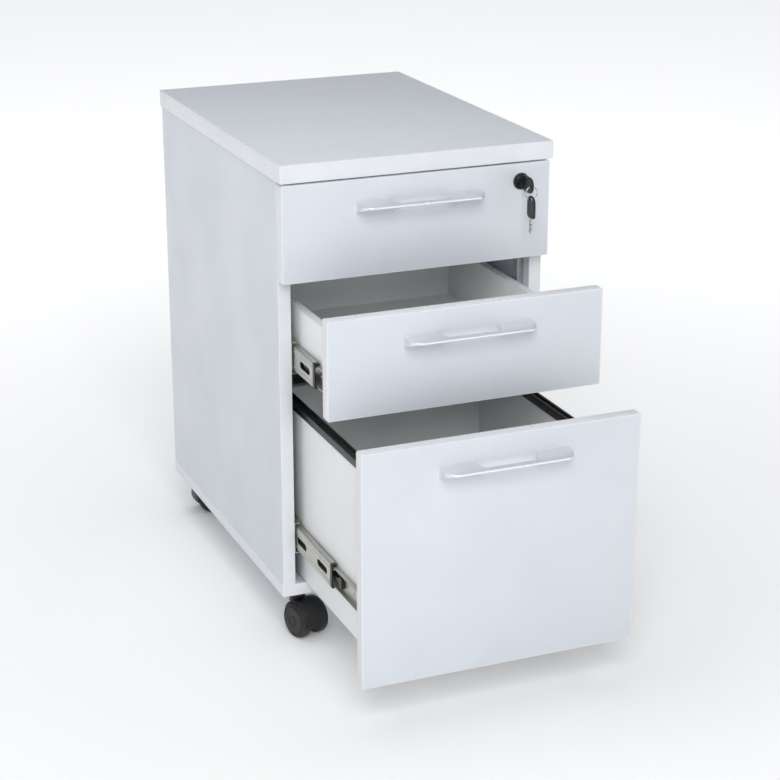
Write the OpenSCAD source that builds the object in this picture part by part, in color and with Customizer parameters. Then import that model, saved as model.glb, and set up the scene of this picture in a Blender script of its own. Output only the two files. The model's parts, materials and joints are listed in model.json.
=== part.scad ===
// Rolling pedestal cabinet: two shallow drawers over a filing drawer, on twin-wheel casters.
// Millimetres. +X is to the right along the drawer fronts, +Y runs to the back, +Z is up.
// The origin is on the floor, under the middle of the object's own box with its drawers
// drawn out as stored: the top one shut, the second part open, the filing drawer further out.

/* [Carcass] */
// Width over the two side panels
carcass_w = 390; // [370:1:430]
// Height from the bottom panel's underside to the top face
body_h = 624; // [616:1:640]
// Depth of the side panels, front to back
side_depth = 522; // [490:1:560]
// Thickness of the top panel
top_t = 25; // [22:1:28]
// Thickness of side, bottom and drawer front boards
board_t = 18; // [16:1:19]
// Thickness of the back panel
back_t = 12; // [8:1:16]
// How far the top panel stands out past each side panel
top_overhang = 3; // [2:0.5:4]
// How far the bottom panel stands out past each side panel
bottom_overhang = 1; // [0.5:0.5:2]
// How far the top panel stands out past the closed fronts
top_nose = 4; // [2:0.5:6]
// Thickness of the edge banding
band_t = 2; // [1:0.5:2]

/* [Drawers] */
// Height of each of the two shallow fronts
shallow_front_h = 134; // [130:1:136]
// Gap between neighbouring fronts, and under the top panel
front_gap = 3; // [2:0.5:4]
// Gap between a closed front and the carcass edge
front_stand_off = 2; // [1:0.5:3]
// Height of the box of a shallow drawer
shallow_box_h = 90; // [80:1:92]
// Height of the box of the filing drawer
file_box_h = 250; // [230:1:254]
// Thickness of the drawer box boards
box_t = 12; // [12:0.5:15]
// Length of a drawer box, front to back
box_len = 394; // [380:1:400]
// How far the middle drawer stands open as stored
open_2 = 163; // [100:1:200]
// How far the filing drawer stands open as stored
open_3 = 277; // [240:1:300]

/* [Slides] */
// Height of the telescopic slides
slide_h = 45; // [42:0.5:46]
// Space that a slide fills between panel and drawer box
slide_t = 12.7; // [12.7:0.1:13]
// Length of each slide member
slide_len = 400; // [390:1:420]
// Thickness of the slide's steel
steel_t = 1.2; // [1:0.1:1.4]

/* [Handles] */
// Length of a handle at its feet
handle_len = 182; // [176:1:196]
// How far a handle stands out from its front
handle_reach = 28; // [24:1:32]
// Depth of the finger notch behind the grip bar
notch_depth = 19.5; // [16:0.5:20]
// Distance between the two handle screws
handle_pitch = 128; // [120:1:136]
// Distance from a front's top edge down to its handle
handle_drop = 30; // [26:1:34]

/* [Lock] */
// Distance of the lock's axis from the middle of the cabinet
lock_x = 151.3; // [148:0.1:153]
// Distance of the lock's axis below the top front's upper edge
lock_drop = 25; // [23:0.5:26]
// Diameter of the lock's rosette
rosette_d = 23; // [22:0.5:26]
// Diameter of the turning plug
plug_d = 13; // [12:0.5:14]
// Angle that the key's blade makes with the vertical as stored
key_tilt = 0; // [0:1:20]
// Outside diameter of the split ring
ring_d = 18; // [17:0.5:19]

/* [Casters] */
// Height of a caster with its plate
caster_h = 66; // [64:1:70]
// Diameter of a caster wheel
wheel_d = 52; // [48:1:52]
// Width of one of the twin wheels
wheel_w = 17; // [15:0.5:18]
// Horizontal distance between swivel axis and wheel axle
trail = 20; // [18:0.5:22]
// Distance of a swivel axis from the side panel's outer face
caster_inset = 30; // [28:1:36]

/* [Hidden] */

$fn = 48;

// Colours
white = "#DCE0E6";
edge_white = "#E8EBEF";
zinc = "#A8A79B";
satin = "#B9BFCB";
black = "#1A1A1C";
steel = "#8C9094";

// Heights above the floor
z_bottom = caster_h;
z_inside = z_bottom + board_t;
z_top = z_bottom + body_h;
z_under_top = z_top - top_t;
side_h = z_under_top - z_inside;

// Depths behind the closed fronts' faces, before the whole is centred
y_carcass = board_t + front_stand_off;
y_back = y_carcass + side_depth;
y_box = board_t;
y_slide = y_carcass + 2;
centre_y = (y_back - open_3 - handle_reach) / 2;

// Half widths
side_in = carcass_w / 2 - board_t;
box_out = side_in - slide_t;
box_in = box_out - box_t;
front_w = carcass_w;

// The three drawers, from the top down: front height, front's lower edge, box height, opening
front_1_z = z_under_top - front_gap - shallow_front_h;
front_2_z = front_1_z - front_gap - shallow_front_h;
file_front_h = front_2_z - front_gap - z_bottom;
front_z = [front_1_z, front_2_z, z_bottom];
front_h = [shallow_front_h, shallow_front_h, file_front_h];
box_h = [shallow_box_h, shallow_box_h, file_box_h];
box_z = [front_1_z + 4, front_2_z + 4, z_inside + 4];
opening = [0, open_2, open_3];
slide_z = [front_1_z + 26, front_2_z + 26, z_bottom + 86];
floor_lift = 3;
inner_front_drop = 9;

// Fasteners
wood_screw_r = 2;
wood_screw_head_r = 4;
handle_screw_r = 2;
screw_head_t = 2.4;
front_screw_inset = 24;
front_screw_tip = 6;
running_clearance = 0.05;

// Slide members: half heights and faces measured inwards from the side panel
cabinet_flange = 9.6;
middle_half = slide_h / 2 - 5;
middle_web = 2.8;
middle_flange = 11;
drawer_half = middle_half - 3.5;
drawer_flange = 5.2;
slot_len = 38;
slot_h = 10;
slot_pitch = 80;
first_slot = 18;
stop_len = 7;
stop_t = 2.6;

// Lock
lock_z = front_1_z + shallow_front_h - lock_drop;
housing_r = 9.5;
rosette_t = 3;
lock_bore_r = housing_r + 0.1;
housing_end = y_carcass + 22;
cam_y = housing_end + 1;
cam_t = 2;
cam_len = 20;
cam_w = 9;
bow_w = 22;
bow_len = 31;
bow_t = 2.4;
blade_t = 2;
blade_w = 7;
bow_start = 7;
shoulder = 3;
key_blade_len = 26;
spare_blade_len = 22;
keyway_end = 24;
ring_wire_r = 0.6;
ring_r = ring_d / 2 - ring_wire_r;
bow_slot_len = 8.6;
bow_slot_w = 4;
slot_from_end = 4.6;
ring_sag = 1;
ring_pivot = [lock_x - ring_sag * sin(key_tilt), -(bow_start + bow_len - slot_from_end),
              lock_z - ring_sag * cos(key_tilt)];
spare_pivot = ring_pivot - [0, 0, 2 * ring_r];
spare_turn = 90;

// Lock bar in its groove
groove_w = 16;
groove_depth = 9;
groove_y = cam_y - 4;
bar_play = 0.6;
bar_w = groove_w - 2 * bar_play;
bar_x = side_in + 0.8;
bar_t = groove_depth - 1.2;
bar_top = lock_z + 2;
bar_foot = z_inside + 14;
block_in = box_out + 4;
block_lift = 9;
block_h = 74;
catch_t = 2.6;
catch_len = 20;
catch_h = 12;
catch_rise = 30;
catch_gap = 8;
guide_t = 1.5;
guide_h = 14;
guide_reach = 8;
guide_z = [z_inside + 14, slide_z[2] + 130];

// Casters: name suffix, side, distance of the swivel axis behind the fronts, heading
front_caster_y = y_carcass + 27;
back_caster_y = y_back - 27;
caster_x = carcass_w / 2 - caster_inset;
hood_r = wheel_d / 2 + 3.5;
hood_wall = 2;
web_w = 11;
wheel_gap = 0.6;
hood_w = web_w + 2 * wheel_gap + 2 * wheel_w - 10;
axle_r = 3;
kingpin_r = 4;
kingpin_len = 16;
plate_side = 40;
plate_t = 2;
plate_hole = 15;
caster_screw_r = 1.75;
caster_screw_len = 13;
caster_head_r = 3.2;
caster_head_t = 1.6;
boss_r = 10;
boss_foot = 36;
axle_inset = 3;
tread_r = 4;

// Corner posts of the carcass
connector_inset = 34;
connector_y = [60, side_depth - 60];
cam_disc_r = 7.5;
cam_disc_t = 12;
bolt_r = 3;
bolt_in_panel = 10;

// ---------------------------------------------------------------- shared shapes

module placed() {
    translate([0, -centre_y, 0]) children();
}

module block(low, high) {
    translate(low) cube(high - low);
}

module both_sides() {
    children();
    mirror([1, 0, 0]) children();
}

module along_y(r, start, end) {
    translate([0, start, 0]) rotate([-90, 0, 0]) cylinder(r = r, h = end - start);
}

module along_x(r, start, end) {
    translate([start, 0, 0]) rotate([0, 90, 0]) cylinder(r = r, h = end - start);
}

// A rectangle centred on the origin with round corners
module round_rect(w, h, r) {
    square([w - 2 * r, h], center = true);
    square([w, h - 2 * r], center = true);
    for (sx = [-1, 1], sy = [-1, 1])
        translate([sx * (w / 2 - r), sy * (h / 2 - r)]) circle(r = r);
}

// Four banding strips round a board of size w by h, drawn flat: two long, two between them
module band_strips(w, h, r) {
    module outline() {
        difference() {
            round_rect(w, h, r);
            square([w - 2 * band_t, h - 2 * band_t], center = true);
        }
    }
    for (s = [-1, 1]) {
        intersection() {
            outline();
            translate([0, s * (h / 2 - band_t / 2)]) square([w, band_t], center = true);
        }
        intersection() {
            outline();
            translate([s * (w / 2 - band_t / 2), 0]) square([band_t, h - 2 * band_t], center = true);
        }
    }
}

// ---------------------------------------------------------------- carcass

corner_r = 1.8;
base_corner_r = 1.2;
back_inset = 2;
bottom_nose = 1;
top_w = carcass_w + 2 * top_overhang;
top_d = y_back + top_nose;
top_mid_y = (y_back - top_nose) / 2;
base_w = carcass_w + 2 * bottom_overhang;

module top_panel() {
    color(white) placed() difference() {
        block([-top_w / 2 + band_t, -top_nose + band_t, z_under_top],
              [top_w / 2 - band_t, y_back - band_t, z_top]);
        connector_bolts(z_under_top, bolt_in_panel);
    }
}

module top_edging() {
    color(edge_white) placed() translate([0, top_mid_y, z_under_top])
        linear_extrude(top_t) band_strips(top_w, top_d, corner_r);
}

// Bolt holes of the panel connectors: straight up or down out of the side panels' ends
module connector_bolts(z, height) {
    both_sides() for (y = connector_y)
        translate([carcass_w / 2 - board_t / 2, y_carcass + y, z]) cylinder(r = bolt_r, h = height);
}

module side_board() {
    difference() {
        block([side_in, y_carcass + band_t, z_inside], [carcass_w / 2, y_back, z_under_top]);
        for (y = connector_y, up = [0, 1]) {
            z = up == 1 ? z_under_top - connector_inset : z_inside + connector_inset;
            translate([0, y_carcass + y, z]) along_x(cam_disc_r, side_in - 1, side_in + cam_disc_t);
            translate([carcass_w / 2 - board_t / 2, y_carcass + y, up == 1 ? z : z_inside - 1])
                cylinder(r = bolt_r, h = connector_inset + 1);
        }
    }
}

module left_side_panel() {
    color(white) placed() mirror([1, 0, 0]) difference() {
        side_board();
        rail_screw_holes();
    }
}

module right_side_panel() {
    color(white) placed() difference() {
        side_board();
        rail_screw_holes();
        block([side_in - 1, groove_y, z_inside - 1],
              [side_in + groove_depth, groove_y + groove_w, z_under_top + 1]);
    }
}

module bottom_panel() {
    color(white) placed() difference() {
        block([-base_w / 2 + band_t, y_carcass - bottom_nose + band_t, z_bottom],
              [base_w / 2 - band_t, y_back - band_t, z_inside]);
        connector_bolts(z_inside - bolt_in_panel, bolt_in_panel + 1);
        at_casters() plate_holes(z_bottom - 1, caster_screw_len, caster_screw_r);
    }
}

// Banding on the two side panels' front edges and round the bottom panel
module carcass_edging() {
    base_d = y_back - y_carcass + bottom_nose;
    color(edge_white) placed() {
        both_sides() block([side_in, y_carcass, z_inside],
                           [carcass_w / 2, y_carcass + band_t, z_under_top]);
        translate([0, y_carcass - bottom_nose + base_d / 2, z_bottom])
            linear_extrude(board_t) band_strips(base_w, base_d, base_corner_r);
    }
}

module back_panel() {
    color(white) placed()
        block([-side_in, y_back - back_t - back_inset, z_inside],
              [side_in, y_back - back_inset, z_under_top]);
}

// Cam discs in the side panels and the bolts that they draw into the top and bottom panels
module panel_connectors() {
    color(steel) placed() both_sides() for (y = connector_y, up = [0, 1]) {
        z = up == 1 ? z_under_top - connector_inset : z_inside + connector_inset;
        start = up == 1 ? z + cam_disc_r : z_inside - bolt_in_panel;
        end = up == 1 ? z_under_top + bolt_in_panel : z - cam_disc_r;
        translate([0, y_carcass + y, z]) along_x(cam_disc_r, side_in + 0.4, side_in + cam_disc_t);
        translate([carcass_w / 2 - board_t / 2, y_carcass + y, start])
            cylinder(r = bolt_r, h = end - start);
    }
}

// ---------------------------------------------------------------- telescopic slides

// A channel's outline: web from web_face, flanges to flange_face, both measured from the panel
module channel(web_face, flange_face, half) {
    low = min(web_face, flange_face);
    web_low = web_face < flange_face ? web_face : web_face - steel_t;
    translate([web_low, -half]) square([steel_t, 2 * half]);
    for (s = [-1, 1])
        translate([low, s > 0 ? half - steel_t : -half])
            square([abs(flange_face - web_face), steel_t]);
}

// Draws a slide member's outline along Y on both sides of the cabinet
module slide_pair(z, start, length) {
    both_sides() translate([side_in, start + length, z])
        rotate([90, 0, 0]) mirror([1, 0, 0]) linear_extrude(length) children();
}

rail_screw_y = [52, 170, 350];
rail_screw_len = 13;

module rail_screw_holes() {
    for (z = slide_z, y = rail_screw_y)
        translate([0, y_slide + y, z]) along_x(wood_screw_r, side_in - 1, side_in + rail_screw_len);
}

module cabinet_rails() {
    color(zinc) placed() for (z = slide_z) difference() {
        slide_pair(z, y_slide, slide_len) channel(0, cabinet_flange, slide_h / 2);
        both_sides() for (y = rail_screw_y)
            translate([0, y_slide + y, z]) along_x(wood_screw_r, side_in - steel_t - 1, side_in + 1);
    }
}

module rail_screws() {
    color(steel) placed() both_sides() for (z = slide_z, y = rail_screw_y)
        translate([0, y_slide + y, z]) {
            along_x(wood_screw_r, side_in - steel_t, side_in + rail_screw_len);
            along_x(wood_screw_head_r, side_in - steel_t - 1, side_in - steel_t);
        }
}

// An oblong window through the middle member's web, with round ends
module window() {
    straight = slot_len - slot_h;
    translate([0, slot_h / 2, -slot_h / 2]) cube([steel_t + 2, straight, slot_h]);
    for (y = [0, straight]) translate([0, slot_h / 2 + y, 0]) along_x(slot_h / 2, 0, steel_t + 2);
}

// The middle members ride half as far as their drawer
module middle_rails(n) {
    start = y_slide - opening[n] / 2;
    z = slide_z[n];
    color(zinc) placed() {
        difference() {
            slide_pair(z, start + stop_len, slide_len - stop_len)
                channel(middle_web, middle_flange, middle_half);
            both_sides() for (k = [0 : 3])
                translate([side_in - middle_web - steel_t - 1, start + first_slot + k * slot_pitch, z])
                    window();
        }
        both_sides() translate([side_in - middle_flange, start, z - middle_half])
            cube([middle_flange - drawer_flange - 2, stop_len, stop_t]);
        both_sides() translate([side_in - middle_flange, start, z + middle_half - stop_t])
            cube([middle_flange - drawer_flange - 2, stop_len, stop_t]);
    }
}

// The inner members are screwed to the drawer box
module drawer_rails(n) {
    color(zinc) placed()
        slide_pair(slide_z[n], y_slide - opening[n], slide_len)
            channel(slide_t, drawer_flange, drawer_half);
}

// ---------------------------------------------------------------- drawers

module with_drawer(n) {
    placed() translate([0, -opening[n], 0]) children();
}

// Children are drawn once at each handle screw, with Z along the screw
module at_handle_screws(n) {
    z = front_z[n] + front_h[n] - handle_drop - foot_h / 2;
    for (s = [-1, 1]) translate([s * handle_pitch / 2, 0, z]) children();
}

// The screws that hold the front to the box, near the box's corners
module at_front_screws(n) {
    for (s = [-1, 1], z = [box_z[n] + front_screw_inset, box_z[n] + box_h[n] - front_screw_inset])
        translate([s * (box_in - front_screw_inset), 0, z]) children();
}

module drawer_front(n) {
    color(white) with_drawer(n) difference() {
        block([-front_w / 2 + band_t, 0, front_z[n] + band_t],
              [front_w / 2 - band_t, board_t, front_z[n] + front_h[n] - band_t]);
        at_handle_screws(n) along_y(handle_screw_r, -1, board_t + 1);
        at_front_screws(n) along_y(wood_screw_r, front_screw_tip, board_t + 1);
        if (n == 0) translate([lock_x, 0, lock_z]) along_y(lock_bore_r, -1, board_t + 1);
    }
}

module drawer_edging(n) {
    color(edge_white) with_drawer(n)
        translate([0, board_t, front_z[n] + front_h[n] / 2]) rotate([90, 0, 0])
            linear_extrude(board_t) band_strips(front_w, front_h[n], corner_r);
}

// Two sides with the back and the inner front between them
module drawer_frame(n) {
    low = box_z[n];
    high = low + box_h[n];
    color(white) with_drawer(n) {
        both_sides() block([box_in, y_box, low], [box_out, y_box + box_len, high]);
        block([-box_in, y_box + box_len - box_t, low], [box_in, y_box + box_len, high]);
        difference() {
            block([-box_in, y_box, low], [box_in, y_box + box_t, high - inner_front_drop]);
            at_front_screws(n) along_y(wood_screw_r, y_box - 1, y_box + box_t + 1);
        }
    }
}

module drawer_bottom(n) {
    low = box_z[n] + floor_lift;
    color(white) with_drawer(n)
        block([-box_in, y_box + box_t, low], [box_in, y_box + box_len - box_t, low + box_t]);
}

module drawer_screws(n) {
    color(steel) with_drawer(n) {
        at_handle_screws(n) {
            along_y(handle_screw_r, -handle_thread, board_t);
            along_y(wood_screw_head_r, board_t, board_t + screw_head_t);
        }
        at_front_screws(n) {
            along_y(wood_screw_r, front_screw_tip, y_box + box_t);
            along_y(wood_screw_head_r, y_box + box_t, y_box + box_t + screw_head_t);
        }
    }
}

// A hardened stud plate on the box's right side, level with the lock bar's blocks
module drawer_catch(n) {
    z = slide_z[n] + slide_h / 2 + catch_rise;
    start = groove_y + groove_w + catch_gap;
    color(steel) with_drawer(n)
        block([box_out, start, z], [box_out + catch_t, start + catch_len, z + catch_h]);
}

// Handle: its plan is a bar with round ends, its section a wedge that thins towards the grip
foot_h = 16;
lip_h = 3;
lip_fall = 4;
end_r = 18;
handle_thread = 9;
notch_foot = 46;
notch_head = 36;

module handle_plan() {
    half = handle_len / 2;
    difference() {
        union() {
            translate([-half, 0]) square([handle_len, handle_reach - end_r]);
            translate([-half + end_r, 0]) square([handle_len - 2 * end_r, handle_reach]);
            for (s = [-1, 1]) translate([s * (half - end_r), handle_reach - end_r]) circle(r = end_r);
        }
        polygon([[-notch_foot, -1], [-notch_foot, 0], [-notch_head, notch_depth],
                 [notch_head, notch_depth], [notch_foot, 0], [notch_foot, -1]]);
        translate([-half - 1, -end_r]) square([handle_len + 2, end_r]);
    }
}

module handle_section() {
    polygon([[0, 0], [0, -foot_h], [handle_reach, -lip_fall - lip_h], [handle_reach, -lip_fall]]);
}

module drawer_handle(n) {
    z = front_z[n] + front_h[n] - handle_drop;
    color(satin) with_drawer(n) difference() {
        translate([0, 0, z]) intersection() {
            translate([0, 0, -foot_h - 1]) linear_extrude(foot_h + 2) mirror([0, 1]) handle_plan();
            translate([-handle_len / 2 - 1, 0, 0]) rotate([90, 0, 90])
                linear_extrude(handle_len + 2) mirror([1, 0]) handle_section();
        }
        at_handle_screws(n) along_y(handle_screw_r, -handle_thread, 1);
    }
}

// Rails for hanging files, capping the filing drawer's sides
module file_rails() {
    n = 2;
    z = box_z[n] + box_h[n];
    wall = 1.2;
    lip = 6;
    color(black) with_drawer(n) both_sides() difference() {
        block([box_in - wall, y_box + 1, z - lip], [box_out + wall, y_box + box_len, z + 5]);
        block([box_in, y_box, z - lip - 1], [box_out, y_box + box_len + 1, z]);
        block([box_in + 3, y_box, z + 2], [box_out - 3, y_box + box_len + 1, z + 6]);
        block([box_in - wall - 1, y_box + box_len - box_t - 0.5, z - lip - 1],
              [box_in + 1, y_box + box_len + 1, z]);
    }
}

// ---------------------------------------------------------------- lock and keys

module at_lock() {
    placed() translate([lock_x, 0, lock_z]) children();
}

module lock_housing() {
    color(black) at_lock() difference() {
        union() {
            along_y(housing_r, 0, housing_end);
            along_y(rosette_d / 2, -rosette_t, 0);
        }
        along_y(plug_d / 2 + running_clearance, -rosette_t - 1, housing_end + 1);
    }
}

// The keyway leans with the key
module keyway(t, w, start, end) {
    rotate([0, key_tilt, 0]) translate([-t / 2, start, -w / 2]) cube([t, end - start, w]);
}

module lock_plug() {
    color(black) at_lock() difference() {
        along_y(plug_d / 2, -rosette_t - 1, cam_y);
        keyway(blade_t + 0.2, blade_w + 0.2, -rosette_t - 2, keyway_end);
    }
}

// The cam stands upright while the bar is free
module lock_cam() {
    color(steel) at_lock() translate([0, cam_y + cam_t, 0]) rotate([90, 0, 0]) linear_extrude(cam_t) {
        circle(r = plug_d / 2);
        translate([-cam_w / 2, 0]) square([cam_w, cam_len - cam_w / 2]);
        translate([0, cam_len - cam_w / 2]) circle(r = cam_w / 2);
    }
}

// A key drawn flat in the XZ plane, bow down to z = 0 and blade up, centred on X
module flat_key(blade_len) {
    translate([0, bow_t / 2, 0]) rotate([90, 0, 0]) linear_extrude(bow_t) difference() {
        union() {
            translate([-bow_w / 2, -bow_len + bow_w / 2]) square([bow_w, bow_len - bow_w / 2 - shoulder]);
            translate([-bow_w / 2 + shoulder, -shoulder]) square([bow_w - 2 * shoulder, shoulder]);
            translate([0, -bow_len + bow_w / 2]) circle(r = bow_w / 2);
        }
        bow_slot();
    }
    translate([-blade_w / 2, -blade_t / 2, 0]) cube([blade_w, blade_t, blade_len]);
}

module bow_slot() {
    straight = (bow_slot_len - bow_slot_w) / 2;
    translate([0, -bow_len + slot_from_end]) {
        square([2 * straight, bow_slot_w], center = true);
        for (s = [-1, 1]) translate([s * straight, 0]) circle(r = bow_slot_w / 2);
    }
}

module key() {
    color(black) at_lock() translate([0, -bow_start, 0])
        rotate([0, key_tilt + 90, 0]) rotate([-90, 0, 0]) flat_key(key_blade_len);
}

module key_ring() {
    color(steel) placed() translate(ring_pivot - [0, 0, ring_r]) rotate([90, 0, 0])
        rotate_extrude() translate([ring_r, 0]) circle(r = ring_wire_r, $fn = 24);
}

// The spare hangs by its bow, blade down
module spare_key() {
    color(black) placed() translate(spare_pivot) rotate([0, 0, spare_turn])
        translate([0, 0, -bow_len + slot_from_end]) mirror([0, 0, 1]) flat_key(spare_blade_len);
}

// ---------------------------------------------------------------- lock bar

module lock_bar() {
    color(steel) placed() {
        block([bar_x, groove_y + bar_play, bar_foot],
              [bar_x + bar_t, groove_y + groove_w - bar_play, bar_top]);
        for (n = [0 : 2]) {
            low = slide_z[n] + slide_h / 2 + block_lift;
            high = min(low + block_h, bar_top);
            block([block_in, groove_y + bar_play, low],
                  [bar_x, groove_y + groove_w - bar_play, high]);
        }
    }
}

// Flat clips across the groove keep the bar in
module lock_bar_guides() {
    color(black) placed() for (z = guide_z)
        block([side_in - guide_t, groove_y - guide_reach, z],
              [side_in, groove_y + groove_w + guide_reach, z + guide_h]);
}

// ---------------------------------------------------------------- casters

caster_names = ["fl", "fr", "bl", "br"];
caster_side = [-1, 1, -1, 1];
caster_row = [front_caster_y, front_caster_y, back_caster_y, back_caster_y];
caster_heading = [16, -14, 90, -72];

module at_caster(k) {
    placed() translate([caster_side[k] * caster_x, caster_row[k], 0]) children();
}

module at_casters() {
    for (k = [0 : 3]) translate([caster_side[k] * caster_x, caster_row[k], 0]) children();
}

module plate_holes(z, height, r) {
    for (sx = [-1, 1], sy = [-1, 1])
        translate([sx * plate_hole, sy * plate_hole, z]) cylinder(r = r, h = height);
}

module caster_plates() {
    color(steel) placed() at_casters() {
        difference() {
            translate([0, 0, z_bottom - plate_t]) linear_extrude(plate_t)
                round_rect(plate_side, plate_side, 4);
            plate_holes(z_bottom - plate_t - 1, plate_t + 2, caster_screw_r);
        }
        translate([0, 0, z_bottom - kingpin_len])
            cylinder(r = kingpin_r, h = kingpin_len - plate_t);
    }
}

module caster_screws() {
    color(steel) placed() at_casters() {
        plate_holes(z_bottom - plate_t, caster_screw_len, caster_screw_r);
        plate_holes(z_bottom - plate_t - caster_head_t, caster_head_t, caster_head_r);
    }
}

// Children are drawn with the axle along X, turned to the caster's heading
module on_axle(k) {
    at_caster(k) rotate([0, 0, caster_heading[k]]) translate([0, -trail, wheel_d / 2]) children();
}

// Hood: a half drum over both wheels, a middle web with the axle bore, and the swivel boss
module caster_housing(k) {
    pocket_r = hood_r - hood_wall;
    color(black) difference() {
        union() {
            on_axle(k) difference() {
                along_x(hood_r, -hood_w / 2, hood_w / 2);
                for (s = [0, 1]) mirror([s, 0, 0]) along_x(pocket_r, web_w / 2, hood_w);
                translate([-hood_w, -hood_r - 1, -hood_r - 1])
                    cube([2 * hood_w, 2 * hood_r + 2, hood_r - 5]);
            }
            at_caster(k) intersection() {
                translate([0, 0, boss_foot])
                    cylinder(r = boss_r, h = z_bottom - plate_t - 0.5 - boss_foot);
                rotate([0, 0, caster_heading[k]]) translate([0, -trail, wheel_d / 2])
                    boss_room(pocket_r);
            }
        }
        at_caster(k) translate([0, 0, z_bottom - kingpin_len - 2])
            cylinder(r = kingpin_r + running_clearance, h = kingpin_len + 4);
        on_axle(k) along_x(axle_r + running_clearance, -web_w, web_w);
    }
}

// The boss stands outside the wheel pockets
module boss_room(pocket_r) {
    difference() {
        translate([-hood_w, -hood_w, -hood_w]) cube([2 * hood_w, 3 * hood_w, 2 * hood_w]);
        for (s = [0, 1]) mirror([s, 0, 0]) along_x(pocket_r, web_w / 2, 2 * hood_w);
    }
}

module caster_wheels(k) {
    inner = web_w / 2 + wheel_gap;
    color(black) on_axle(k) both_sides() difference() {
        translate([inner, 0, 0]) rotate([90, 0, 90]) rotate_extrude() union() {
            square([wheel_d / 2 - tread_r, wheel_w]);
            translate([0, tread_r]) square([wheel_d / 2, wheel_w - 2 * tread_r]);
            for (u = [tread_r, wheel_w - tread_r])
                translate([wheel_d / 2 - tread_r, u]) circle(r = tread_r);
        }
        along_x(axle_r, inner - 1, inner + wheel_w - axle_inset);
    }
}

module caster_axle(k) {
    reach = web_w / 2 + wheel_gap + wheel_w - axle_inset;
    color(steel) on_axle(k) along_x(axle_r, -reach, reach);
}

// ---------------------------------------------------------------- drawing

top_panel();
top_edging();
left_side_panel();
right_side_panel();
bottom_panel();
carcass_edging();
back_panel();
panel_connectors();
cabinet_rails();
rail_screws();
lock_bar_guides();
caster_plates();
caster_screws();
lock_bar();
for (n = [0 : 2]) {
    name = str("drawer_", n + 1);
    drawer_front(n);
    drawer_edging(n);
    drawer_frame(n);
    drawer_bottom(n);
    drawer_handle(n);
    drawer_screws(n);
    drawer_rails(n);
    drawer_catch(n);
    middle_rails(n);
}
file_rails();
lock_housing();
lock_plug();
lock_cam();
key();
key_ring();
spare_key();
for (k = [0 : 3]) {
    caster_housing(k);
    caster_wheels(k);
    caster_axle(k);
}
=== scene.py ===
# %% [markdown]
# # A rolling pedestal cabinet
# A white office pedestal: two shallow drawers over a deep filing drawer, on four twin-wheel casters.
# The CAD model is the fixed frame. It gives every place and every joint. This notebook dresses it:
# each visible part is rebuilt with softened edges and small fittings, and rides on its CAD body.

# %% Load the frame
import json
import math

import bmesh
import bpy
from mathutils import Matrix, Vector


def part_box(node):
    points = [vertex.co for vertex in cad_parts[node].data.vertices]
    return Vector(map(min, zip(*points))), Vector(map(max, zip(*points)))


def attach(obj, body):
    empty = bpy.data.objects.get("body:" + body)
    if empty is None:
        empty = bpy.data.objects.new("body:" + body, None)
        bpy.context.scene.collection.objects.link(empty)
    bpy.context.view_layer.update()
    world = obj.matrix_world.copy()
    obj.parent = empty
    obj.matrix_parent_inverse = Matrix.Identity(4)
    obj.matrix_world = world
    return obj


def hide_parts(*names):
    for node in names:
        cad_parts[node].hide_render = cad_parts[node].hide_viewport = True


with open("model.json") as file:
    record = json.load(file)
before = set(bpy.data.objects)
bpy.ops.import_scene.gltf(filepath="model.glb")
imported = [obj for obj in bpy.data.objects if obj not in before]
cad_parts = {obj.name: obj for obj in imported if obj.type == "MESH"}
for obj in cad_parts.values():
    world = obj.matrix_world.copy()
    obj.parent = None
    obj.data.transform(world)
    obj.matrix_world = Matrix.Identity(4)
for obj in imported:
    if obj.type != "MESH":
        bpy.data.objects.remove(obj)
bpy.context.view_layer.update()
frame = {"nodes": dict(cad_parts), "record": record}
nodes = frame["nodes"]
MM = 0.001
print("CAD nodes:", len(nodes))

# %% [markdown]
# ## The view
# A product picture is taken with a long lens from a little above. A long lens keeps the drawer
# fronts nearly parallel. The camera comes first, so that every later look has the same frame.

# %% Camera
LENS_MM = 92.8
CAMERA_PLACE = (-1.0392, -2.5227, 1.2898)
CAMERA_TURN = math.radians(22.53)
CAMERA_DROP = math.radians(19.64)

camera_data = bpy.data.cameras.new("camera")
camera_data.lens = LENS_MM
camera_data.clip_end = 60
camera = bpy.data.objects.new("camera", camera_data)
camera.location = CAMERA_PLACE
camera.rotation_euler = (math.pi / 2 - CAMERA_DROP, 0, -CAMERA_TURN)
bpy.context.collection.objects.link(camera)
bpy.context.scene.camera = camera

# %% [markdown]
# ## Studio
# A white sweep and large soft lights give an even, pale picture with faint shadows. The sweep also
# glows a little, more so away from the object: painted light. The floor is a plain plane, wide enough to
# fill the view, and the standard view transform keeps white white.

# %% Floor and lights
FLOOR_HALF = 14


def hex_colour(text):
    """An sRGB hex colour as linear red, green, blue and alpha."""
    channels = [int(text[i:i + 2], 16) / 255 for i in (1, 3, 5)]
    linear = [c / 12.92 if c <= 0.04045 else ((c + 0.055) / 1.055) ** 2.4 for c in channels]
    return linear + [1]


def add_node(tree, kind, settings={}, inputs={}):
    """Adds a shader node, sets its properties, and sets or links its inputs."""
    made = tree.nodes.new(kind)
    for name, value in settings.items():
        setattr(made, name, value)
    for name, value in inputs.items():
        if isinstance(value, bpy.types.NodeSocket):
            tree.links.new(value, made.inputs[name])
        else:
            made.inputs[name].default_value = value
    return made


def new_finish(name):
    """An empty material: its tree, and object coordinates in metres."""
    finish = bpy.data.materials.new(name)
    finish.use_nodes = True
    tree = finish.node_tree
    tree.nodes.clear()
    place = add_node(tree, "ShaderNodeTexCoord").outputs["Object"]
    return finish, tree, place


def show(finish, tree, inputs):
    """Ends a material in a Principled shader with these inputs."""
    shader = add_node(tree, "ShaderNodeBsdfPrincipled", {}, inputs)
    add_node(tree, "ShaderNodeOutputMaterial", {}, {"Surface": shader.outputs[0]})
    return finish


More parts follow.
